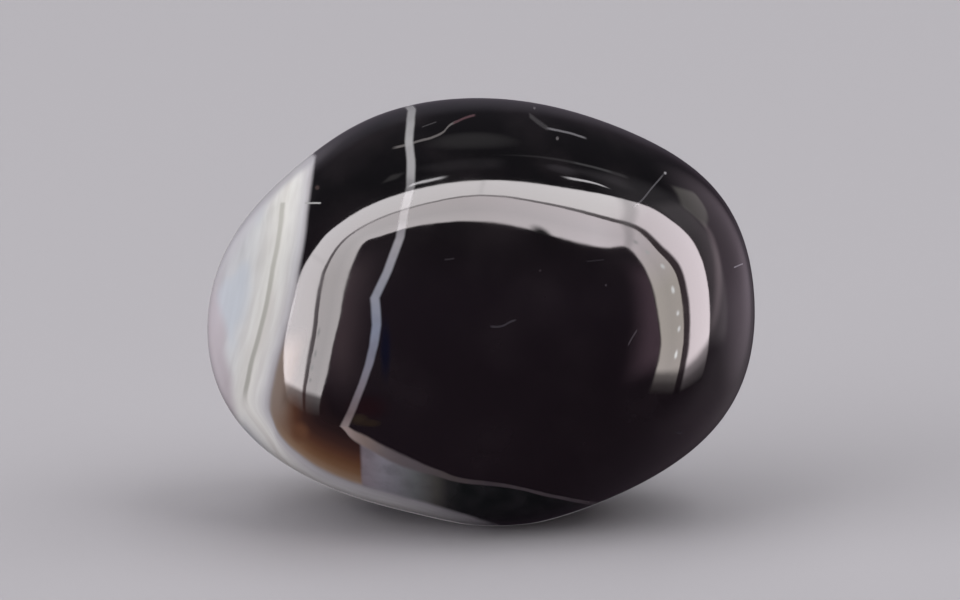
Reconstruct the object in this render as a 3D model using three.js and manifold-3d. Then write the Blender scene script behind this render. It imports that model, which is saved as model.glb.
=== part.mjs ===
import * as THREE from "three";
import { mergeVertices } from "three/addons/utils/BufferGeometryUtils.js";
import Module from "manifold-3d";

// A polished oval agate standing on its edge. Millimetres, +Z up, the domed face that shows towards -Y.

// Half sizes of the plain oval that the stone is worked from
const HALF_WIDTH = 8.9;
const HALF_HEIGHT = 7.15;
const FRONT_DEPTH = 5.2;
const BACK_DEPTH = 5.0;

// 2 would be an ellipsoid; a larger number gives flatter faces and a fuller edge
const FULLNESS = 2.3;

// How much the small flat that the stone rests on takes off the bottom
const FLAT_DEPTH = 0.4;

// Each of the 20 faces of the starting sphere is parted in (SPLIT + 1) squared triangles
const SPLIT = 15;

// Where tumbling and polishing left the stone fuller or leaner than the oval, as height in mm.
// angle runs round the outline from +X towards +Z, tilt leans from the outline towards the front
// face, and spread is how far the swell reaches: all three in degrees seen from the middle.
const SWELLS = [
  { angle: 25, tilt: 0, spread: 15, height: 0.45 },
  { angle: 145, tilt: 0, spread: 15, height: -0.37 },
  { angle: 201, tilt: 0, spread: 15, height: 0.38 },
  { angle: 254, tilt: 0, spread: 15, height: -0.32 },
  { angle: 273, tilt: 0, spread: 15, height: 0.3 },
  { angle: 340, tilt: 0, spread: 16, height: 0.38 },
  { angle: 60, tilt: -50, spread: 24, height: -0.18 },
  { angle: 215, tilt: -45, spread: 26, height: 0.15 },
];

// Unit vector at an angle round the outline, leant towards the front face
function towards({ angle, tilt }) {
  const a = THREE.MathUtils.degToRad(angle);
  const t = THREE.MathUtils.degToRad(tilt);
  return new THREE.Vector3(Math.cos(t) * Math.cos(a), -Math.sin(t), Math.cos(t) * Math.sin(a));
}

// Distance from the middle to the full oval along a unit direction: the outline is an ellipse in X
// and Z, and the front and back domes close it with their own depths
function ovalRadius(direction) {
  const depth = direction.y < 0 ? FRONT_DEPTH : BACK_DEPTH;
  const outline = Math.hypot(direction.x / HALF_WIDTH, direction.z / HALF_HEIGHT);
  const across = Math.abs(direction.y / depth);
  return (outline ** FULLNESS + across ** FULLNESS) ** (-1 / FULLNESS);
}

// A swell is a bell curve of the angle between its own direction and the given one
function swellHeight(swell, direction) {
  const away = THREE.MathUtils.radToDeg(towards(swell).angleTo(direction)) / swell.spread;
  return swell.height * Math.exp(-0.5 * away ** 2);
}

// An even sphere of triangles with every corner drawn out to the surface of the stone
function stoneGeometry() {
  const sphere = new THREE.IcosahedronGeometry(1, SPLIT);
  sphere.deleteAttribute("normal");
  sphere.deleteAttribute("uv");
  const geometry = mergeVertices(sphere);
  const corners = geometry.getAttribute("position");
  const direction = new THREE.Vector3();
  for (let i = 0; i < corners.count; i += 1) {
    direction.fromBufferAttribute(corners, i).normalize();
    const swells = SWELLS.reduce((sum, swell) => sum + swellHeight(swell, direction), 0);
    direction.multiplyScalar(ovalRadius(direction) + swells);
    corners.setXYZ(i, direction.x, direction.y, direction.z);
  }
  geometry.computeBoundingBox();
  return geometry;
}

// Block that lies under the level where the stone is ground flat
function groundBlock(level) {
  const side = 4 * HALF_WIDTH;
  const block = new THREE.BoxGeometry(side, side, side);
  block.deleteAttribute("normal");
  block.deleteAttribute("uv");
  return mergeVertices(block.translate(0, 0, level - side / 2));
}

function toSolid(wasm, geometry) {
  const vertProperties = new Float32Array(geometry.getAttribute("position").array);
  const triVerts = new Uint32Array(geometry.getIndex().array);
  return new wasm.Manifold(new wasm.Mesh({ numProp: 3, vertProperties, triVerts }));
}

function toGeometry(solid) {
  const { vertProperties, triVerts } = solid.getMesh();
  const geometry = new THREE.BufferGeometry();
  geometry.setAttribute("position", new THREE.BufferAttribute(vertProperties, 3));
  geometry.setIndex(new THREE.BufferAttribute(triVerts, 1));
  return geometry;
}

// Puts the middle of the stone's box over the origin, and the flat on Z = 0
function standOnOrigin(geometry) {
  geometry.computeBoundingBox();
  const { min, max } = geometry.boundingBox;
  return geometry.translate(-(min.x + max.x) / 2, -(min.y + max.y) / 2, -min.z);
}

const wasm = await Module();
wasm.setup();

const rounded = stoneGeometry();
const level = rounded.boundingBox.min.z + FLAT_DEPTH;
const solid = toSolid(wasm, rounded).subtract(toSolid(wasm, groundBlock(level)));

const polishedStone = new THREE.MeshStandardMaterial({ color: 0x1f1a1d, roughness: 0.06, metalness: 0 });
const agate = new THREE.Mesh(standOnOrigin(toGeometry(solid)), polishedStone);
agate.name = "agate";

const stone = new THREE.Group();
stone.add(agate);

export default stone;
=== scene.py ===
import bpy
import numpy as np
from mathutils import Matrix, Vector


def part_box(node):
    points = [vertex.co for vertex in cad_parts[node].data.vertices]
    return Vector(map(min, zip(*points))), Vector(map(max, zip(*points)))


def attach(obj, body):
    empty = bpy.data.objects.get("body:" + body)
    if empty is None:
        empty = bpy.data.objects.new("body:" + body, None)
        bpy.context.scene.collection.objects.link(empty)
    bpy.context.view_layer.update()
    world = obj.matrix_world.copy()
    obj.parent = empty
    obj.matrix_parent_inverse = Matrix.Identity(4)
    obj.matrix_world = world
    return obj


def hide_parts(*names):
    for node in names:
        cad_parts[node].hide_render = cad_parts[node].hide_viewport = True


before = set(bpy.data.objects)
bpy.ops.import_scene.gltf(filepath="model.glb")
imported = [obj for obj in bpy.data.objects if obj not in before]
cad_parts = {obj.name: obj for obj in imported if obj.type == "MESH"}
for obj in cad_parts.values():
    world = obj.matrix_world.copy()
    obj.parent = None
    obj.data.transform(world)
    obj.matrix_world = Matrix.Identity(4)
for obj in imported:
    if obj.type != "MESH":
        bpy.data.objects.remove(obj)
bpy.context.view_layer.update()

# Blender's metres in a millimetre
MM = 0.001

# The stone, in mm: the plain oval, how full it is, and the swells that shape it, as in the CAD
HALF_WIDTH = 8.9
HALF_HEIGHT = 7.15
FRONT_DEPTH = 5.2
BACK_DEPTH = 5.0
FULLNESS = 2.3
FLAT_DEPTH = 0.4
# angle round the outline, tilt to the front and spread in degrees, height in mm
SWELLS = [
    (25, 0, 15, 0.45),
    (145, 0, 15, -0.37),
    (201, 0, 15, 0.38),
    (254, 0, 15, -0.32),
    (273, 0, 15, 0.3),
    (340, 0, 16, 0.38),
    (60, -50, 24, -0.18),
    (215, -45, 26, 0.15),
]
# cells along each side of the six patches that the surface is laid out on
PATCH_CELLS = 110

# Height of the stone's middle, which the banding and the lamps are measured from
MIDDLE = 6.89

# The camera looks down on the stone by this angle, and the stone's layers lean back by the same
LOOK_DOWN = 15.0


def towards(angle, tilt):
    """Unit vector at an angle round the outline from +X to +Z, leant by tilt towards the front."""
    a, t = np.radians([angle, tilt])
    return np.array([np.cos(t) * np.cos(a), -np.sin(t), np.cos(t) * np.sin(a)])


def grid_faces(rows, columns):
    """The four-cornered faces of a grid whose points are numbered row by row."""
    corner = np.arange(rows * columns).reshape(rows, columns)
    sides = [corner[:-1, :-1], corner[1:, :-1], corner[1:, 1:], corner[:-1, 1:]]
    return np.stack(sides, -1).reshape(-1, 4)


def even_sphere(cells):
    """Unit directions and faces of a sphere with no poles: the six sides of a cube, each a square
    grid of two angles from -45 to 45 degrees, where a grid point is the side's middle plus the
    tangents of its angles along the two edges, pulled to length one. Shared edges are welded."""
    angle = np.radians(np.linspace(-45, 45, cells + 1))
    across, up = np.meshgrid(np.tan(angle), np.tan(angle), indexing="ij")
    quads = grid_faces(cells + 1, cells + 1)
    points = []
    faces = []
    for axis in range(3):
        for sign in (1, -1):
            middle, side = np.eye(3)[axis] * sign, np.eye(3)[(axis + 1) % 3]
            top = np.cross(middle, side)
            points.append(middle + across[..., None] * side + up[..., None] * top)
            faces.append(quads + len(faces) * across.size)
    points = np.concatenate([p.reshape(-1, 3) for p in points])
    points /= np.linalg.norm(points, axis=1, keepdims=True)
    _, first, welded = np.unique(points.round(6), axis=0, return_index=True, return_inverse=True)
    return points[first], welded.reshape(-1)[np.concatenate(faces)]


def stone_surface(direction):
    """The stone's surface along unit directions, in mm from its middle. The distance is the full
    oval's, (outline ^ f + across ^ f) ^ (-1 / f) with f its fullness, outline the direction's
    share of the ellipse in X and Z and across its share of the front or back depth, plus a bell
    curve of the angle to each swell. What lies under the resting flat is brought up to it."""
    depth = np.where(direction[:, 1] < 0, FRONT_DEPTH, BACK_DEPTH)
    outline = np.hypot(direction[:, 0] / HALF_WIDTH, direction[:, 2] / HALF_HEIGHT)
    across = np.abs(direction[:, 1] / depth)
    radius = (outline ** FULLNESS + across ** FULLNESS) ** (-1 / FULLNESS)
    for angle, tilt, spread, height in SWELLS:
        away = np.degrees(np.arccos(np.clip(direction @ towards(angle, tilt), -1, 1)))
        radius = radius + height * np.exp(-0.5 * (away / spread) ** 2)
    points = direction * radius[:, None]
    level = points[:, 2].min() + FLAT_DEPTH
    points[:, 2] = np.maximum(points[:, 2], level)
    return points


def fit_to(points, box):
    """Moves the points so that the middle and size of their box are those of the given box."""
    low, high = np.array(box[0]), np.array(box[1])
    span = points.max(axis=0) - points.min(axis=0)
    return low + (points - points.min(axis=0)) * ((high - low) / span)


def mesh_object(name, points, faces, material):
    """A smooth mesh object at the origin from arrays of points and faces."""
    mesh = bpy.data.meshes.new(name)
    mesh.from_pydata(points.tolist(), [], faces.tolist())
    mesh.polygons.foreach_set("use_smooth", np.ones(len(mesh.polygons), bool))
    mesh.materials.append(material)
    mesh.update()
    piece = bpy.data.objects.new(name, mesh)
    bpy.context.scene.collection.objects.link(piece)
    return piece


class Finish:
    """Short calls that add shader nodes. A value is a number, a colour or another node's output.
    The calls for sums, ramps and patterns give back the output that holds their result."""

    def __init__(self, tree):
        self.tree = tree
        self.tree.nodes.clear()

    def node(self, kind, values=(), **settings):
        node = self.tree.nodes.new(kind)
        for name, setting in settings.items():
            setattr(node, name, setting)
        for socket, value in dict(values).items():
            self.feed(node.inputs[socket], value)
        return node

    def feed(self, socket, value):
        if isinstance(value, bpy.types.NodeSocket):
            self.tree.links.new(value, socket)
        else:
            socket.default_value = value

    def show(self, surface, kind="ShaderNodeOutputMaterial"):
        """Sends a shader node's result to the surface of the material or world."""
        self.tree.links.new(surface.outputs[0], self.node(kind).inputs["Surface"])

    def math(self, operation, *values, clamp=False):
        values = dict(enumerate(values))
        return self.node("ShaderNodeMath", values, operation=operation, use_clamp=clamp).outputs[0]

    def vector(self, operation, *values):
        """A vector sum. Its result is the second output where that is a number."""
        node = self.node("ShaderNodeVectorMath", dict(enumerate(values)), operation=operation)
        return node.outputs[1 if operation in ("DOT_PRODUCT", "LENGTH") else 0]

    def plus(self, a, b):
        return self.math("ADD", a, b)

    def minus(self, a, b):
        return self.math("SUBTRACT", a, b)

    def times(self, a, b):
        return self.math("MULTIPLY", a, b)

    def size(self, value):
        return self.math("ABSOLUTE", value)

    def rise(self, value, start, end):
        """0 up to start and 1 from end on, with a smooth rise between them."""
        inputs = {"Value": value, "From Min": start, "From Max": end}
        return self.node("ShaderNodeMapRange", inputs, interpolation_type="SMOOTHSTEP").outputs[0]

    def within(self, value, low, high, soft):
        """1 between low and high, and a smooth fall to 0 outside them."""
        return self.times(self.rise(value, low - soft, low), self.rise(value, high + soft, high))

    def mix(self, share, a, b, blend="MIX"):
        node = self.node("ShaderNodeMix", data_type="RGBA", blend_type=blend)
        for socket, value in zip((node.inputs[0], node.inputs[6], node.inputs[7]), (share, a, b)):
            self.feed(socket, value)
        return node.outputs[2]

    def curve(self, value, points, handle="AUTO"):
        """A curve through (value, result) points, in mm, or straight runs with VECTOR handles.
        Past its ends it keeps their results."""
        places, results = np.array(points, float).T
        low, high = places[0], places[-1]
        base, top = results.min() - 0.5, results.max() + 0.5
        share = self.math("DIVIDE", self.minus(value, low), high - low, clamp=True)
        node = self.node("ShaderNodeFloatCurve", {"Value": share})
        line = node.mapping.curves[0]
        shares = np.stack([(places - low) / (high - low), (results - base) / (top - base)], -1)
        for x, y in shares[1:-1]:
            line.points.new(x, y)
        line.points[0].location = shares[0]
        line.points[-1].location = shares[-1]
        for point in line.points:
            point.handle_type = handle
        node.mapping.update()
        return self.plus(self.times(node.outputs[0], top - base), base)

    def colours(self, value, stops):
        """A colour ramp along a value: stops are (value, colour)."""
        low, high = stops[0][0], stops[-1][0]
        share = self.math("DIVIDE", self.minus(value, low), high - low, clamp=True)
        node = self.node("ShaderNodeValToRGB", {"Fac": share})
        ramp = node.color_ramp
        for place, colour in stops[1:-1]:
            ramp.elements.new((place - low) / (high - low)).color = colour
        ramp.elements[0].color = stops[0][1]
        ramp.elements[-1].color = stops[-1][1]
        return node.outputs["Color"]

    def noise(self, vector, scale, detail=2.0):
        """Soft noise from 0 to 1, about 0.5 on average."""
        inputs = {"Vector": vector, "Scale": scale, "Detail": detail}
        return self.node("ShaderNodeTexNoise", inputs).outputs["Fac"]

    def strip_place(self):
        """The place on a piece's UV map, and its two numbers."""
        place = self.node("ShaderNodeUVMap").outputs[0]
        along, across, _ = self.node("ShaderNodeSeparateXYZ", {0: place}).outputs
        return place, along, across

    def spot(self, flat, middle, half):
        """An oval patch: 1 round its middle, and a soft fall to 0 at its half sizes."""
        scale = (1 / half[0], 1 / half[1], 0)
        shift = (-middle[0] / half[0], -middle[1] / half[1], 0)
        away = self.vector("LENGTH", self.vector("MULTIPLY_ADD", flat, scale, shift))
        return self.rise(away, 1.0, 0.2)

    def thread(self, u, w, points, width):
        """A fine line through (u, w) points that thins out at both ends: 1 on the line."""
        away = self.size(self.minus(w, self.curve(u, points)))
        fade = 0.12 * (points[-1][0] - points[0][0])
        reach = self.within(u, points[0][0] + fade, points[-1][0] - fade, fade)
        return self.times(self.rise(away, width, 0.3 * width), reach)


def new_material(name):
    material = bpy.data.materials.new(name)
    material.use_nodes = True
    return material


def tint(red, green, blue):
    """A shader colour from a screen colour given in 0 to 255."""
    screen = np.array([red, green, blue]) / 255
    linear = np.where(screen < 0.04045, screen / 12.92, ((screen + 0.055) / 1.055) ** 2.4)
    return (*linear.tolist(), 1.0)


def grey(value):
    return (value, value, value, 1)


# Where the stone's layers lie, in mm from its middle. u is along X, w is height along the layers.
# A layer has two limbs that meet in a corner at the lower left: (w, u) up its left limb and
# (u, w) along its lower one.
VEIN_LEFT = [
    (-4.3, -4.75), (-3.7, -4.45), (-3.18, -4.2), (-2.3, -3.84), (-1.71, -3.64), (-1.1, -3.49),
    (-0.4, -3.38), (0.09, -3.41), (0.46, -3.44), (1.34, -3.02), (1.85, -2.83), (2.43, -2.62),
    (3.26, -2.48), (4.06, -2.28), (4.96, -2.27), (5.56, -2.35), (6.9, -2.27), (7.3, -2.25),
]
VEIN_LOWER = [
    (-5.2, -3.1), (-4.45, -3.76), (-4.28, -3.94), (-3.75, -4.24), (-3.05, -4.64), (-2.4, -4.92),
    (-1.34, -5.3), (-0.73, -5.49), (1.07, -5.74), (2.29, -6.05), (3.69, -6.36), (4.5, -6.55),
]
BAND_LEFT = [
    (-7.5, -7.2), (-5.0, -7.02), (-2.9, -6.9), (-2.21, -6.76), (-1.51, -6.59), (-0.92, -6.41),
    (0.7, -6.01), (1.45, -5.89), (2.37, -5.72), (3.57, -5.6), (4.26, -5.52), (5.24, -5.46), (7.2, -5.4),
]
BAND_LOWER = [
    (-7.8, -2.2), (-6.9, -3.5), (-6.66, -3.98), (-5.97, -4.7), (-5.37, -5.12), (-4.48, -5.52),
    (-2.67, -6.04), (-2.01, -6.22), (-1.36, -6.42), (-0.35, -6.74), (3.0, -8.0),
]
# Inner edge of the clear skin at the stone's pale end, as (w, u)
SKIN_EDGE = [
    (-4.0, -7.95), (-3.12, -8.08), (-2.1, -8.15), (-1.22, -8.36), (-0.62, -8.3), (0.05, -8.5),
    (0.5, -8.62), (1.08, -8.5), (2.06, -7.95), (2.73, -7.5), (3.55, -6.95), (4.37, -6.15), (5.02, -5.25),
]

# Healed cracks in the black, as (u, w) lines, with their half width and colour
THREADS = [
    ([(-2.95, 5.34), (-2.42, 5.46), (-2.01, 5.59), (-1.56, 5.71), (-1.23, 5.88), (-1.01, 6.12),
      (-0.65, 6.28)], 0.06, tint(96, 92, 92)),
    ([(-0.95, 6.16), (-0.74, 6.26), (-0.5, 6.37), (-0.15, 6.47)], 0.06, tint(78, 58, 62)),
    ([(-1.95, 6.05), (-1.43, 6.24)], 0.03, tint(60, 58, 60)),
    ([(1.55, 6.51), (1.93, 6.2), (2.23, 6.0)], 0.13, tint(58, 56, 58)),
    ([(2.1, 6.04), (2.59, 5.93), (3.08, 5.81), (3.5, 5.67)], 0.055, tint(104, 102, 106)),
    ([(4.9, 3.4), (5.19, 3.6), (5.61, 4.09), (6.04, 4.57)], 0.055, tint(86, 84, 88)),
    ([(4.76, -1.1), (4.95, -0.77), (5.09, -0.56)], 0.06, tint(88, 82, 88)),
    ([(0.28, -0.44), (0.72, -0.43), (0.91, -0.33), (1.16, -0.24)], 0.045, tint(70, 66, 72)),
    ([(8.3, 1.46), (8.66, 1.6)], 0.035, tint(130, 126, 134)),
    ([(-1.2, 1.7), (-0.85, 1.74)], 0.04, tint(52, 48, 52)),
    ([(3.4, 1.66), (4.03, 1.71)], 0.035, tint(46, 42, 46)),
]
# Small flecks and stains in the black: middle (u, w), half sizes, colour
FLECKS = [
    ((2.49, 5.67), (0.07, 0.09), tint(96, 92, 94)),
    ((1.77, 6.74), (0.06, 0.07), tint(110, 106, 110)),
    ((6.04, 4.56), (0.07, 0.07), tint(150, 148, 152)),
    ((4.05, 0.88), (0.05, 0.05), tint(74, 68, 74)),
    ((1.91, 1.34), (0.06, 0.05), tint(62, 56, 60)),
    ((6.53, -3.97), (0.2, 0.06), tint(52, 48, 54)),
    ((-5.34, 4.08), (0.11, 0.11), tint(66, 54, 53)),
    ((-5.95, -3.95), (0.42, 0.45), tint(112, 77, 58)),
    ((-3.7, -3.1), (0.95, 0.55), tint(38, 22, 26)),
    ((-3.98, -3.5), (0.42, 0.26), tint(56, 46, 38)),
    ((-3.6, -3.62), (0.5, 0.18), tint(50, 40, 33)),
    ((-3.1, -1.2), (0.24, 1.3), tint(20, 21, 38)),
]

# The polish: its roughness, what smudges add to that, and the height of its waviness in mm
POLISH_ROUGHNESS = 0.03
SMUDGE_ROUGHNESS = 0.03
WAVE_HEIGHT = 0.0012
AGATE_IOR = 1.54


class AgateFinish(Finish):
    """Black agate with a clear polish: a white band and a pale bluish end, a brown corner, a
    milky pocket and a thin pale vein with a kink."""

    def __init__(self, tree):
        super().__init__(tree)
        self.find_places()
        self.find_layers()

    def find_places(self):
        """The point in mm from the stone's middle, and its u, w and depth. The layers tremble a
        little everywhere, and drift and wander behind the middle, so that the back isn't the front
        again."""
        place = self.node("ShaderNodeTexCoord").outputs["Object"]
        self.place = self.vector("MULTIPLY_ADD", place, (1 / MM,) * 3, (0, 0, -MIDDLE))
        x, self.depth, z = self.node("ShaderNodeSeparateXYZ", {0: self.place}).outputs
        lean = np.radians(LOOK_DOWN)
        height = self.plus(self.times(z, np.cos(lean)), self.times(self.depth, np.sin(lean)))
        behind = self.math("MAXIMUM", self.depth, 0.0)
        tremble = self.times(self.minus(self.noise(self.place, 0.9, 3.0), 0.5), 0.06)
        wander = self.minus(self.noise(self.place, 0.22, 2.0), 0.5)
        shift = self.plus(tremble, self.times(wander, self.times(behind, 0.5)))
        self.u = self.plus(self.plus(x, self.times(behind, 0.16)), shift)
        self.w = self.plus(height, shift)
        self.flat = self.node("ShaderNodeCombineXYZ", {0: self.u, 1: self.w}).outputs[0]
        self.front = self.rise(self.depth, 0.3, -0.3)

    def find_layers(self):
        """Distances outwards from each layer, towards the stone's pale end: positive outside."""
        self.vein_left = self.minus(self.curve(self.w, VEIN_LEFT, "VECTOR"), self.u)
        self.vein_lower = self.minus(self.curve(self.u, VEIN_LOWER), self.w)
        self.vein = self.math("MAXIMUM", self.vein_left, self.vein_lower)
        band_left = self.minus(self.curve(self.w, BAND_LEFT), self.u)
        band_lower = self.minus(self.curve(self.u, BAND_LOWER), self.w)
        self.band = self.math("SMOOTH_MAX", band_left, band_lower, 0.5)
        self.skin = self.minus(self.curve(self.w, SKIN_EDGE), self.u)

    def black(self):
        """Black, painted darker towards the top and lighter low down as painted shade and painted light, a
        little grey in places, and with brown stains and a few faint cracks behind."""
        # Painted shade at the top and painted light low down: the black's colour changes with height, not
        # only its tone.
        body = self.colours(self.w, [
            (-6.0, tint(37, 29, 34)), (-3.0, tint(33, 26, 31)), (0.3, tint(28, 22, 27)),
            (2.2, tint(21, 17, 20)), (4.0, tint(15, 14, 16)),
        ])
        cloud = self.noise(self.place, 0.4, 4.0)
        body = self.mix(self.times(self.rise(cloud, 0.4, 0.75), 0.15), body, tint(70, 62, 66))
        stain = self.rise(self.noise(self.place, 0.3, 2.0), 0.56, 0.7)
        body = self.mix(self.times(stain, self.rise(self.depth, 0, 2.5)), body, tint(44, 34, 30))
        crack = self.rise(self.size(self.minus(self.noise(self.place, 0.5, 1.0), 0.5)), 0.006, 0.001)
        patchy = self.rise(self.noise(self.place, 0.35, 1.0), 0.58, 0.68)
        patchy = self.times(patchy, self.rise(self.depth, 0.5, 2.0))
        return self.mix(self.times(crack, patchy), body, tint(66, 62, 66))

    def corner(self, body):
        """Under the vein, from the band outwards: brown, then milky grey, then green black."""
        brown = self.colours(self.times(self.band, -1.0), [
            (0.0, tint(172, 152, 138)), (0.12, tint(156, 129, 106)), (0.35, tint(134, 100, 75)),
            (0.6, tint(113, 78, 56)), (0.85, tint(94, 62, 48)), (1.15, tint(68, 45, 40)),
            (1.5, tint(49, 34, 34)), (2.1, tint(30, 22, 25)),
        ])
        milky = self.colours(self.u, [
            (-3.9, tint(150, 139, 147)), (-3.2, tint(154, 151, 160)), (-2.2, tint(120, 122, 124)),
            (-1.5, tint(88, 86, 82)), (-1.1, tint(50, 50, 50)), (-0.6, tint(26, 30, 30)),
            (2.6, tint(20, 24, 24)),
        ])
        haze = self.noise(self.place, 1.6, 3.0)
        milky = self.mix(self.rise(haze, 0.35, 0.75), milky, self.mix(0.3, milky, tint(70, 66, 70)))
        beside_band = self.rise(self.band, -0.9, -0.25)
        greyer = self.times(self.times(self.rise(self.w, -4.7, -2.8), beside_band), 0.75)
        brown = self.mix(greyer, brown, tint(146, 134, 128))
        fill = self.mix(self.rise(self.u, -4.0, -3.86), brown, milky)
        low = self.rise(self.plus(self.w, self.times(self.u, 0.25)), -3.3, -5.0)
        share = self.math("MAXIMUM", low, self.times(beside_band, self.rise(self.w, -0.4, -1.5)))
        return self.mix(self.times(share, self.rise(self.vein, 0.0, 0.1)), body, fill)

    def thin_vein(self, body):
        """White above, bluish below its kink, brownish grey on the lower limb."""
        lower = self.math("GREATER_THAN", self.vein_lower, self.vein_left)
        left_half = self.curve(self.w, [
            (-4.2, 0.17), (-3.0, 0.13), (-0.2, 0.15), (0.6, 0.15), (3.0, 0.14), (7.0, 0.14),
        ])
        lower_half = self.curve(self.u, [
            (-4.5, 0.13), (-3.7, 0.2), (-2.4, 0.2), (-1.3, 0.11), (0.2, 0.07), (3.7, 0.07),
        ])
        half = self.plus(left_half, self.times(lower, self.minus(lower_half, left_half)))
        edge = self.math("DIVIDE", self.size(self.vein), half)
        up_left = self.colours(self.w, [
            (-3.9, tint(176, 162, 160)), (-3.3, tint(138, 124, 126)), (-2.6, tint(146, 138, 146)),
            (-0.6, tint(152, 158, 178)), (0.5, tint(160, 162, 174)), (2.3, tint(168, 164, 170)),
            (3.0, tint(122, 120, 122)), (4.0, tint(126, 124, 126)), (4.5, tint(158, 156, 158)),
            (5.4, tint(158, 156, 158)), (7.0, tint(138, 137, 139)),
        ])
        along_lower = self.colours(self.u, [
            (-4.4, tint(178, 160, 156)), (-3.8, tint(150, 134, 128)), (-3.1, tint(128, 118, 120)),
            (-2.2, tint(112, 104, 108)), (-1.1, tint(100, 92, 92)), (0.2, tint(88, 80, 84)),
            (3.0, tint(98, 90, 94)),
        ])
        colour = self.mix(lower, up_left, along_lower)
        chalk = self.rise(self.noise(self.place, 1.5, 2.0), 0.3, 0.6)
        colour = self.mix(chalk, self.mix(0.1, colour, tint(40, 36, 40)), colour)
        return self.mix(self.rise(edge, 1.3, 0.6), body, colour)

    def marks(self, body):
        """Healed cracks, flecks and stains at the front."""
        for middle, half, colour in FLECKS:
            body = self.mix(self.times(self.spot(self.flat, middle, half), self.front), body, colour)
        for points, width, colour in THREADS:
            body = self.mix(self.times(self.thread(self.u, self.w, points, width), self.front), body, colour)
        return body

    def pale_end(self, body):
        """The white band, its thin grey line, and the bluish end outside it, with soft streaks along the
        layers, painted light and shade by height, a clear pinkish skin, and a short tick from the band into
        the black."""
        pale = self.colours(self.band, [
            (0.0, tint(176, 172, 178)), (0.2, tint(214, 212, 216)), (0.45, tint(238, 237, 236)),
            (0.8, tint(236, 234, 230)), (1.15, tint(232, 231, 228)), (1.6, tint(218, 218, 219)),
            (2.0, tint(208, 209, 213)), (2.8, tint(200, 200, 205)), (3.6, tint(192, 190, 196)),
        ])
        streaks = self.node("ShaderNodeCombineXYZ", {
            0: self.times(self.band, 3.4), 1: self.times(self.w, 0.35), 2: self.times(self.depth, 0.35),
        }).outputs[0]
        light = self.rise(self.noise(streaks, 1.0, 3.0), 0.3, 0.7)
        pale = self.mix(light, self.mix(1.0, pale, tint(238, 236, 236), "MULTIPLY"), pale)
        cloud = self.rise(self.noise(self.place, 0.5, 2.0), 0.4, 0.65)
        blue = self.times(self.rise(self.band, 1.3, 1.9), cloud)
        pale = self.mix(self.times(blue, 0.6), pale, tint(196, 204, 216))
        # Painted light and shade: the pale colours are scaled by height, darker at the very bottom and above
        # the middle, lighter in the lower half and at the top.
        painted_light_and_shade = self.colours(self.w, [
            (-6.6, grey(0.78)), (-5.7, grey(1.0)), (-4.2, grey(1.07)), (-1.0, grey(1.04)), (0.6, grey(0.95)),
            (1.6, grey(0.87)), (3.4, grey(0.88)), (4.6, grey(1.0)), (6.0, grey(1.05)),
        ])
        pale = self.mix(1.0, pale, painted_light_and_shade, "MULTIPLY")
        from_line = self.size(self.minus(self.band, 0.9))
        line_reach = self.times(self.rise(self.w, -3.2, -2.4), self.rise(self.w, 3.64, 3.56))
        pale = self.mix(self.times(self.rise(from_line, 0.12, 0.03), line_reach), pale, tint(186, 184, 178))
        skin = self.mix(self.rise(self.w, 0.2, 1.6), tint(190, 179, 186), tint(194, 192, 198))
        pale = self.mix(self.times(self.rise(self.skin, -0.12, 0.3), 0.8), pale, skin)
        from_tick = self.size(self.minus(self.w, 3.56))
        tick = self.times(self.within(self.u, -5.72, -5.25, 0.06), self.rise(from_tick, 0.04, 0.015))
        body = self.mix(self.rise(self.band, -0.07, 0.1), body, pale)
        return self.mix(self.times(tick, self.front), body, tint(165, 164, 164))

    def polish(self, body):
        """A clear polish with faint smudges and the slight waviness of hand finishing."""
        smudges = self.rise(self.noise(self.place, 0.7, 5.0), 0.4, 0.7)
        roughness = self.plus(self.times(smudges, SMUDGE_ROUGHNESS), POLISH_ROUGHNESS)
        waves = self.noise(self.place, 1.3, 2.0)
        normal = self.node("ShaderNodeBump", {
            "Height": waves, "Strength": 1.0, "Distance": WAVE_HEIGHT * MM,
        })
        return self.node("ShaderNodeBsdfPrincipled", {
            "Base Color": body, "Roughness": roughness, "IOR": AGATE_IOR, "Normal": normal.outputs[0],
        })


def agate_finish():
    material = new_material("polished agate")
    finish = AgateFinish(material.node_tree)
    body = finish.corner(finish.black())
    body = finish.marks(body)
    body = finish.thin_vein(body)
    body = finish.pale_end(body)
    finish.show(finish.polish(body))
    return material


def make_stone():
    directions, faces = even_sphere(PATCH_CELLS)
    points = fit_to(stone_surface(directions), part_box("agate"))
    stone = mesh_object("polished_agate", points, faces, agate_finish())
    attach(stone, "root")
    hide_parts("agate")


# Camera, in mm: the frame is this wide at the stone
LENS = 200.0
SENSOR = 36.0
FRAME_WIDTH = 32.0
# the point that the middle of the picture looks at, from the stone's middle, across and up
LOOK_AT = (-0.03, 0.4)


def make_camera():
    tilt = np.radians(LOOK_DOWN)
    back = Vector((0, -np.cos(tilt), np.sin(tilt)))
    up = Vector((0, np.sin(tilt), np.cos(tilt)))
    target = Vector((LOOK_AT[0], 0, MIDDLE)) + up * LOOK_AT[1]
    data = bpy.data.cameras.new("camera")
    data.lens = LENS
    data.sensor_width = SENSOR
    data.clip_start = 0.005
    data.clip_end = 20
    camera = bpy.data.objects.new("camera", data)
    place = target + back * (FRAME_WIDTH * LENS / SENSOR)
    camera.matrix_world = Matrix.Translation(place * MM) @ back.to_track_quat("Z", "Y").to_matrix().to_4x4()
    bpy.context.scene.collection.objects.link(camera)
    bpy.context.scene.camera = camera


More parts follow.
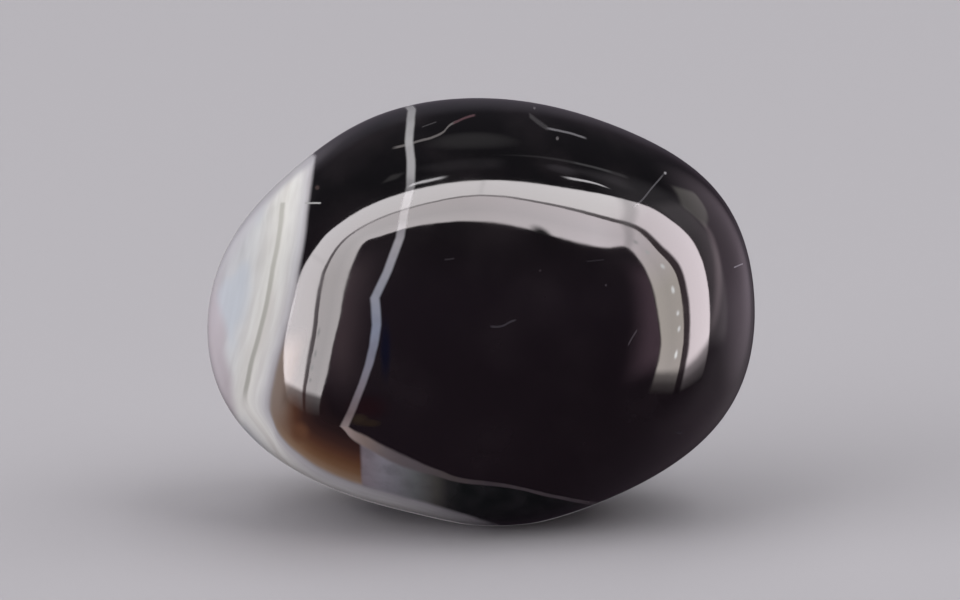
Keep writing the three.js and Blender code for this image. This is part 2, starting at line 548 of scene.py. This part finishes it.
# The lamps that the polish mirrors: an arch of two rows of tubes on an upright plane before the
# stone, turned a little to the right. Its outlines are in mm across and up from the stone's middle,
# from the lower left to the lower right, and the first and last points end its faded tails.
ARCH_DISTANCE = 120.0
ARCH_TURN = 11.0
ARCH_OUTER = [
    (-520, -420), (-380, -228), (-298, -73), (-276, 12), (-319, 106), (-330, 171), (-330, 225),
    (-228, 245), (-114, 232), (-18, 226), (68, 211), (163, 235), (244, 248), (283, 204), (321, 156),
    (324, 90), (300, -12), (292, -89), (318, -195),
]
ARCH_MIDDLE = [
    (-340, -335), (-235, -170), (-190, -100), (-161, -36), (-165, 14), (-181, 64), (-180, 112), (-150, 132),
    (-78, 140), (-23, 146), (31, 125), (75, 112), (108, 104), (120, 69), (140, 38), (142, -7), (143, -31),
    (147, -92), (160, -140),
]
ARCH_INNER = [
    (-242, -256), (-178, -146), (-140, -80), (-118, -20), (-118, 20), (-122, 57), (-122, 84), (-95, 86),
    (-51, 86), (-13, 78), (25, 60), (50, 55), (73, 62), (81, 46), (85, 15), (88, -15), (92, -40), (91, -70),
    (91, -98),
]
ARCH_STEPS = 180
# Points of light in the inner row: place along the arch, place across it and brightness. All have
# the same half lengths, along and across.
LAMP_DOTS = [
    (0.681, 0.2, 5), (0.715, 0.24, 7), (0.754, 0.3, 10), (0.799, 0.3, 12), (0.839, 0.33, 13),
    (0.882, 0.34, 12), (0.917, 0.31, 14), (0.168, 0.4, 5), (0.139, 0.38, 5), (0.117, 0.4, 6),
    (0.089, 0.38, 5),
]
DOT_HALF = (0.008, 0.05)
# A dark notch in the arch's inner edge: its place and half lengths, both along and across
NOTCH = ((0.537, 0.0), (0.012, 0.12))
NOTCH_BRIGHTNESS = 0.2
# Seams where the lamps meet: place along the arch at its inner edge, how much that falls by at the
# outer edge, distances from the seam where it starts and is full, share, brightness, and whether
# only the outer row has it
SEAMS = [
    (0.6736, 0.051, (0.02, 0.003), 0.36, 2.0, False),
    (0.5, 0.0, (0.003, 0.0), 0.2, 4.0, True),
    (0.307, 0.05, (0.008, 0.001), 0.12, 4.0, True),
]
GAP_COLOUR = (0.32, 0.22, 0.24, 1)
# Thin bright edges over the arch, on the same plane, and their half height
SLIVERS = [
    [(-140, 276), (-120, 286), (-99, 283), (-68, 286)],
    [(104, 304), (142, 320), (173, 330), (202, 324)],
]
SLIVER_HALF = 21.0
SLIVER_COLOUR = (1.0, 0.97, 1.0, 1)
SLIVER_BRIGHTNESS = 9.0


def smooth_through(points, count):
    """A smooth line of count points through the given ones: cubic pieces whose slope at each
    point is that of the line between its neighbours, evenly shared between the points."""
    points = np.array(points, float)
    slope = np.gradient(points, axis=0)
    place = np.linspace(0, len(points) - 1, count)
    left = np.minimum(place.astype(int), len(points) - 2)
    t = (place - left)[:, None]
    start, end = points[left], points[left + 1]
    rise, fall = slope[left], slope[left + 1]
    cubic = (2 * t ** 3 - 3 * t ** 2 + 1) * start + (t ** 3 - 2 * t ** 2 + t) * rise
    return cubic + (3 * t ** 2 - 2 * t ** 3) * end + (t ** 3 - t ** 2) * fall


def arch_rows(finish, along, across):
    """A dimmer inner row and a brighter outer row, each changing along the arch, with a gap
    between them that is dark on the right and faint at the top."""
    inner = finish.colours(across, [
        (0.0, grey(0.0)), (0.03, (8.0, 7.5, 7.5, 1)), (0.2, (7.2, 6.8, 6.8, 1)), (0.46, (7.6, 7.1, 7.1, 1)),
    ])
    inner_side = finish.colours(along, [
        (0.0, (0.98, 0.98, 1.0, 1)), (0.25, grey(1.04)), (0.36, (1.2, 1.2, 1.22, 1)),
        (0.48, (1.12, 1.1, 1.12, 1)), (0.6, (1.4, 1.36, 1.42, 1)), (0.7, (1.12, 1.06, 1.1, 1)),
        (0.79, (0.9, 0.87, 0.8, 1)), (0.88, (0.88, 0.85, 0.78, 1)), (1.0, (0.95, 0.9, 0.88, 1)),
    ])
    outer = finish.colours(across, [
        (0.54, (11.4, 10.8, 10.9, 1)), (0.93, (12.0, 11.4, 11.6, 1)), (0.96, (10.5, 9.9, 10.1, 1)),
        (1.0, grey(0.0)),
    ])
    outer_side = finish.colours(along, [
        (0.0, (0.98, 0.96, 0.96, 1)), (0.35, (0.95, 0.95, 0.96, 1)), (0.5, grey(0.98)), (0.6, grey(1.06)),
        (0.67, (0.98, 0.93, 0.96, 1)), (0.78, (1.07, 1.0, 1.04, 1)), (1.0, (1.08, 1.0, 1.03, 1)),
    ])
    inner = finish.mix(1.0, inner, inner_side, "MULTIPLY")
    outer = finish.mix(1.0, outer, outer_side, "MULTIPLY")
    rows = finish.mix(finish.rise(across, 0.49, 0.51), inner, outer)
    half = finish.curve(along, [
        (0.0, 0.035), (0.25, 0.03), (0.4, 0.02), (0.6, 0.025), (0.72, 0.039), (1.0, 0.05),
    ])
    from_gap = finish.math("DIVIDE", finish.size(finish.minus(across, 0.5)), half)
    depth = finish.colours(along, [
        (0.0, grey(0.93)), (0.3, grey(0.85)), (0.42, grey(0.55)), (0.5, grey(0.65)), (0.6, grey(0.88)),
        (0.68, grey(0.98)), (1.0, grey(0.98)),
    ])
    gap = finish.times(finish.rise(from_gap, 1.35, 0.65), depth)
    return finish.mix(gap, rows, GAP_COLOUR)


def arch_seams(finish, along, across, light):
    """The light with thin darker lines across it where the lamps meet."""
    outer_row = finish.rise(across, 0.5, 0.6)
    for place, fall, (start, full), share, brightness, outer_only in SEAMS:
        away = finish.size(finish.minus(along, finish.minus(place, finish.times(across, fall))))
        seam = finish.times(finish.rise(away, start, full), share)
        if outer_only:
            seam = finish.times(seam, outer_row)
        light = finish.mix(seam, light, grey(brightness))
    return light


def arch_light():
    """Emission of the arch: its two rows with their seams, the notch, points of light and fading
    tails. Its UV map runs along the arch and across it, inner edge to outer."""
    material = new_material("lamp arch")
    finish = Finish(material.node_tree)
    place, along, across = finish.strip_place()
    light = arch_seams(finish, along, across, arch_rows(finish, along, across))
    light = finish.mix(finish.spot(place, *NOTCH), light, grey(NOTCH_BRIGHTNESS))
    for dot_along, dot_across, brightness in LAMP_DOTS:
        dot = finish.spot(place, (dot_along, dot_across), DOT_HALF)
        light = finish.mix(dot, light, grey(brightness))
    ends = finish.colours(along, [
        (0.0, grey(0.0)), (0.02, grey(0.05)), (0.035, grey(0.1)), (0.052, grey(0.2)), (0.061, grey(1.0)),
        (0.935, grey(1.0)), (0.948, grey(0.28)), (0.97, grey(0.08)), (1.0, grey(0.0)),
    ])
    finish.show(finish.node("ShaderNodeEmission", {"Color": light, "Strength": ends}))
    return material


def on_arch_plane(places):
    """Points in metres from (across, up) places on the lamps' plane, in mm."""
    turn = np.radians(ARCH_TURN)
    ahead = np.array([np.sin(turn), -np.cos(turn), 0])
    side = np.array([np.cos(turn), np.sin(turn), 0])
    middle = np.array([0, 0, MIDDLE]) + ahead * ARCH_DISTANCE
    return (middle + places[..., :1] * side + places[..., 1:] * np.array([0, 0, 1])) * MM


def lamp_strip(name, lines, material):
    """A strip of light from its lines on the lamps' plane: a grid of the steps along each line by
    the lines across, with a UV map that runs along and across. Only the polish shows it."""
    rows, steps = lines.shape[:2]
    faces = grid_faces(rows, steps)
    strip = mesh_object(name, on_arch_plane(lines).reshape(-1, 3), faces, material)
    along = np.tile(np.linspace(0, 1, steps), rows)
    across = np.repeat(np.linspace(0, 1, rows), steps)
    uv = np.stack([along, across], -1)[faces.reshape(-1)]
    strip.data.uv_layers.new(name="UVMap").uv.foreach_set("vector", uv.ravel())
    strip.visible_camera = False
    strip.visible_diffuse = False
    strip.visible_shadow = False


def sliver_light():
    """Emission of the slivers: bright, with soft edges and ends."""
    material = new_material("lamp sliver")
    finish = Finish(material.node_tree)
    _, along, across = finish.strip_place()
    share = finish.times(finish.within(along, 0.2, 0.8, 0.2), finish.within(across, 0.35, 0.65, 0.35))
    strength = finish.times(share, SLIVER_BRIGHTNESS)
    finish.show(finish.node("ShaderNodeEmission", {"Color": SLIVER_COLOUR, "Strength": strength}))
    return material


def make_lamps():
    """The arch, whose lines across are its inner, middle and outer outlines, and the slivers."""
    outlines = [smooth_through(line, ARCH_STEPS) for line in (ARCH_INNER, ARCH_MIDDLE, ARCH_OUTER)]
    lamp_strip("lamp_arch", np.stack(outlines), arch_light())
    material = sliver_light()
    for number, line in enumerate(SLIVERS):
        line = smooth_through(line, ARCH_STEPS)
        edges = np.stack([line - (0, SLIVER_HALF), line + (0, SLIVER_HALF)])
        lamp_strip(f"lamp_sliver_{number + 1}", edges, material)


# Soft lamps that light the stone and the ground and aren't mirrored: degrees right of the front,
# degrees up and power in watts. Each is a square, and all are as far from the stone's middle.
SOFT_LAMPS = {
    "top": (180, 80, 1.35),
    "low_left": (-62, 20, 1.85),
    "left": (-72, 52, 1.35),
    "right": (80, 52, 2.1),
    "low_right": (112, 20, 0.95),
    "behind": (180, 40, 0.55),
}
SOFT_SIZE = 480.0
SOFT_DISTANCE = 600.0


def make_soft_lamps():
    for name, (side, up, power) in SOFT_LAMPS.items():
        data = bpy.data.lights.new(name, "AREA")
        data.shape = "SQUARE"
        data.size = SOFT_SIZE * MM
        data.energy = power
        lamp = bpy.data.objects.new(name, data)
        turn, rise = np.radians([side, up])
        away = Vector((np.sin(turn) * np.cos(rise), -np.cos(turn) * np.cos(rise), np.sin(rise)))
        place = away * SOFT_DISTANCE + Vector((0, 0, MIDDLE))
        lamp.matrix_world = Matrix.Translation(place * MM) @ away.to_track_quat("Z", "Y").to_matrix().to_4x4()
        lamp.visible_camera = False
        lamp.visible_glossy = False
        bpy.context.scene.collection.objects.link(lamp)


# The pale distance past the ground
DISTANCE = (0.47, 0.455, 0.48, 1)
# What the polish mirrors besides the lamps: a dark room with glows and panels in it, all given by
# their direction from the stone. The room's colour goes by the height of the direction.
DARK_ROOM = [(-0.35, (0.02, 0.014, 0.02, 1)), (0.05, (0.06, 0.045, 0.06, 1)), (0.6, (0.045, 0.04, 0.048, 1))]
# A glow has its middle, the angles from it in degrees where it starts to fade and ends, and its
# colour
GLOWS = {
    "right wall": ((0.88, 0.45, 0.1), 16, 40, (0.52, 0.42, 0.49)),
    "upper right": ((0.74, -0.1, 0.66), 4, 22, (0.3, 0.28, 0.3)),
    "left wall": ((-0.95, 0.30, 0.1), 12, 36, (0.45, 0.44, 0.46)),
    "back left": ((-0.58, 0.8, -0.1), 10, 27, (0.3, 0.28, 0.3)),
    "low behind": ((-0.08, 0.95, -0.29), 5, 15, (0.3, 0.29, 0.3)),
    "back wall": ((-0.2, 0.97, 0.15), 10, 30, (0.07, 0.07, 0.08)),
    "ceiling spot": ((0.36, -0.16, 0.92), 0, 5, (0.25, 0.23, 0.26)),
    "ceiling oval": ((-0.03, 0.2, 0.98), 0, 13, (0.26, 0.25, 0.25)),
}
# A panel has its corners, how soft its sides are and its colour
PANELS = {
    "pale corner on the right": (
        [(0.67, 0.37, 0.64), (0.68, 0.56, 0.47), (0.8, 0.44, 0.4), (0.91, 0.17, 0.38), (0.79, 0.13, 0.59)],
        0.03, (0.72, 0.7, 0.63),
    ),
    "streak below it": (
        [(0.88, 0.2, 0.42), (0.91, 0.3, 0.29), (0.98, 0.14, 0.1), (0.97, 0.0, -0.23), (0.96, -0.2, -0.22)],
        0.06, (1.0, 0.8, 0.87),
    ),
    "broad side on the right": (
        [(0.717, -0.152, 0.68), (0.773, 0.136, 0.62), (0.951, 0.1, -0.28), (0.931, -0.232, -0.28)],
        0.06, (0.48, 0.43, 0.45),
    ),
    "curtain inside the right leg": (
        [(0.64, -0.72, 0.26), (0.8, -0.58, 0.2), (0.76, -0.55, -0.36), (0.56, -0.7, -0.42)],
        0.1, (0.8, 0.52, 0.66),
    ),
    "curtain inside the left leg": (
        [(-0.66, -0.7, 0.27), (-0.48, -0.82, 0.3), (-0.42, -0.86, -0.3), (-0.5, -0.7, -0.48)],
        0.14, (0.7, 0.5, 0.54),
    ),
    "thin arc over the arch": (
        [(0.1, -0.08, 0.99), (0.57, 0.13, 0.81), (0.58, 0.08, 0.81), (0.34, -0.02, 0.94)],
        0.012, (0.35, 0.34, 0.35),
    ),
    "bright part of the arc": (
        [(0.4, 0.04, 0.91), (0.52, 0.1, 0.85), (0.53, 0.07, 0.85), (0.4, 0.01, 0.92)],
        0.012, (0.5, 0.5, 0.5),
    ),
    "haze under the arc": (
        [(0.3, -0.17, 0.94), (0.41, -0.05, 0.91), (0.57, 0.05, 0.83), (0.63, -0.1, 0.77), (0.5, -0.14, 0.85)],
        0.06, (0.22, 0.2, 0.22),
    ),
    "short arc on the left": (
        [(-0.47, -0.26, 0.85), (-0.42, -0.19, 0.88), (-0.35, -0.22, 0.9), (-0.39, -0.28, 0.87)],
        0.02, (0.4, 0.38, 0.38),
    ),
    "haze over the arch": (
        [(-0.3, -0.2, 0.94), (0.1, -0.15, 0.98), (0.1, -0.3, 0.95), (-0.2, -0.33, 0.93)],
        0.05, (0.14, 0.13, 0.14),
    ),
}
# The ground, by the height of the direction: dark straight below, in the stone's own shadow. It is
# mirrored only from the right, and from behind on the left.
MIRRORED_GROUND = [
    (-0.9, (0.06, 0.05, 0.06, 1)), (-0.72, (0.15, 0.12, 0.14, 1)), (-0.42, (0.26, 0.23, 0.25, 1)),
    (-0.15, (0.22, 0.19, 0.22, 1)), (0.02, (0.0, 0.0, 0.0, 1)),
]


def panel_share(finish, direction, corners, soft):
    """1 inside a panel's outline and 0 outside it, with soft sides: inside means on the inner
    side of every plane through the stone and two neighbouring corners."""
    corners = np.array(corners)
    share = 1.0
    for corner, following in zip(corners, np.roll(corners, -1, axis=0)):
        side = np.cross(corner, following)
        side *= np.sign(side @ corners.mean(axis=0)) / np.linalg.norm(side)
        inwards = finish.vector("DOT_PRODUCT", direction, Vector(side))
        share = finish.times(share, finish.rise(inwards, -soft, soft))
    return share


def make_room():
    """A pale distance for the camera, and for the polish a dark room with dim glows in it. It
    lights nothing else."""
    world = bpy.data.worlds.new("studio")
    bpy.context.scene.world = world
    world.use_nodes = True
    world.cycles_visibility.diffuse = False
    finish = Finish(world.node_tree)
    direction = finish.node("ShaderNodeTexCoord").outputs["Generated"]
    right, depth, height = finish.node("ShaderNodeSeparateXYZ", {0: direction}).outputs
    open_right = finish.times(finish.rise(depth, -0.4, 0.05), finish.rise(right, 0.1, 0.7))
    open_left = finish.times(finish.rise(depth, 0.1, 0.6), finish.rise(right, -0.3, -0.7))
    open_ground = finish.plus(open_right, open_left)
    room = finish.colours(height, DARK_ROOM)
    ground = finish.colours(height, MIRRORED_GROUND)
    mirrored = finish.vector("MULTIPLY_ADD", ground, open_ground, room)
    for middle, full, edge, colour in GLOWS.values():
        facing = finish.vector("DOT_PRODUCT", direction, Vector(middle).normalized())
        share = finish.rise(facing, np.cos(np.radians(edge)), np.cos(np.radians(full)))
        mirrored = finish.vector("MULTIPLY_ADD", colour, share, mirrored)
    for corners, soft, colour in PANELS.values():
        share = panel_share(finish, direction, corners, soft)
        mirrored = finish.vector("MULTIPLY_ADD", colour, share, mirrored)
    straight = finish.node("ShaderNodeLightPath").outputs["Is Camera Ray"]
    seen = finish.mix(straight, mirrored, DISTANCE)
    finish.show(finish.node("ShaderNodeBackground", {"Color": seen}), "ShaderNodeOutputWorld")


# Half the ground's width, and its colour
GROUND_HALF = 1500.0
GROUND_COLOUR = (0.395, 0.38, 0.405, 1)


def make_ground():
    """A plain matt pale ground, wide enough for every view. The polish doesn't mirror it, because
    the lamps' lower ends reach below it: the room has a ground of its own for that."""
    material = new_material("pale ground")
    finish = Finish(material.node_tree)
    finish.show(finish.node("ShaderNodeBsdfDiffuse", {"Color": GROUND_COLOUR}))
    corners = np.array([(-1, -1, 0), (1, -1, 0), (1, 1, 0), (-1, 1, 0)]) * GROUND_HALF * MM
    ground = mesh_object("ground", corners, np.array([[0, 1, 2, 3]]), material)
    ground.visible_glossy = False


make_camera()
make_stone()
make_lamps()
make_soft_lamps()
make_room()
make_ground()

bpy.context.scene.view_settings.view_transform = "Standard"
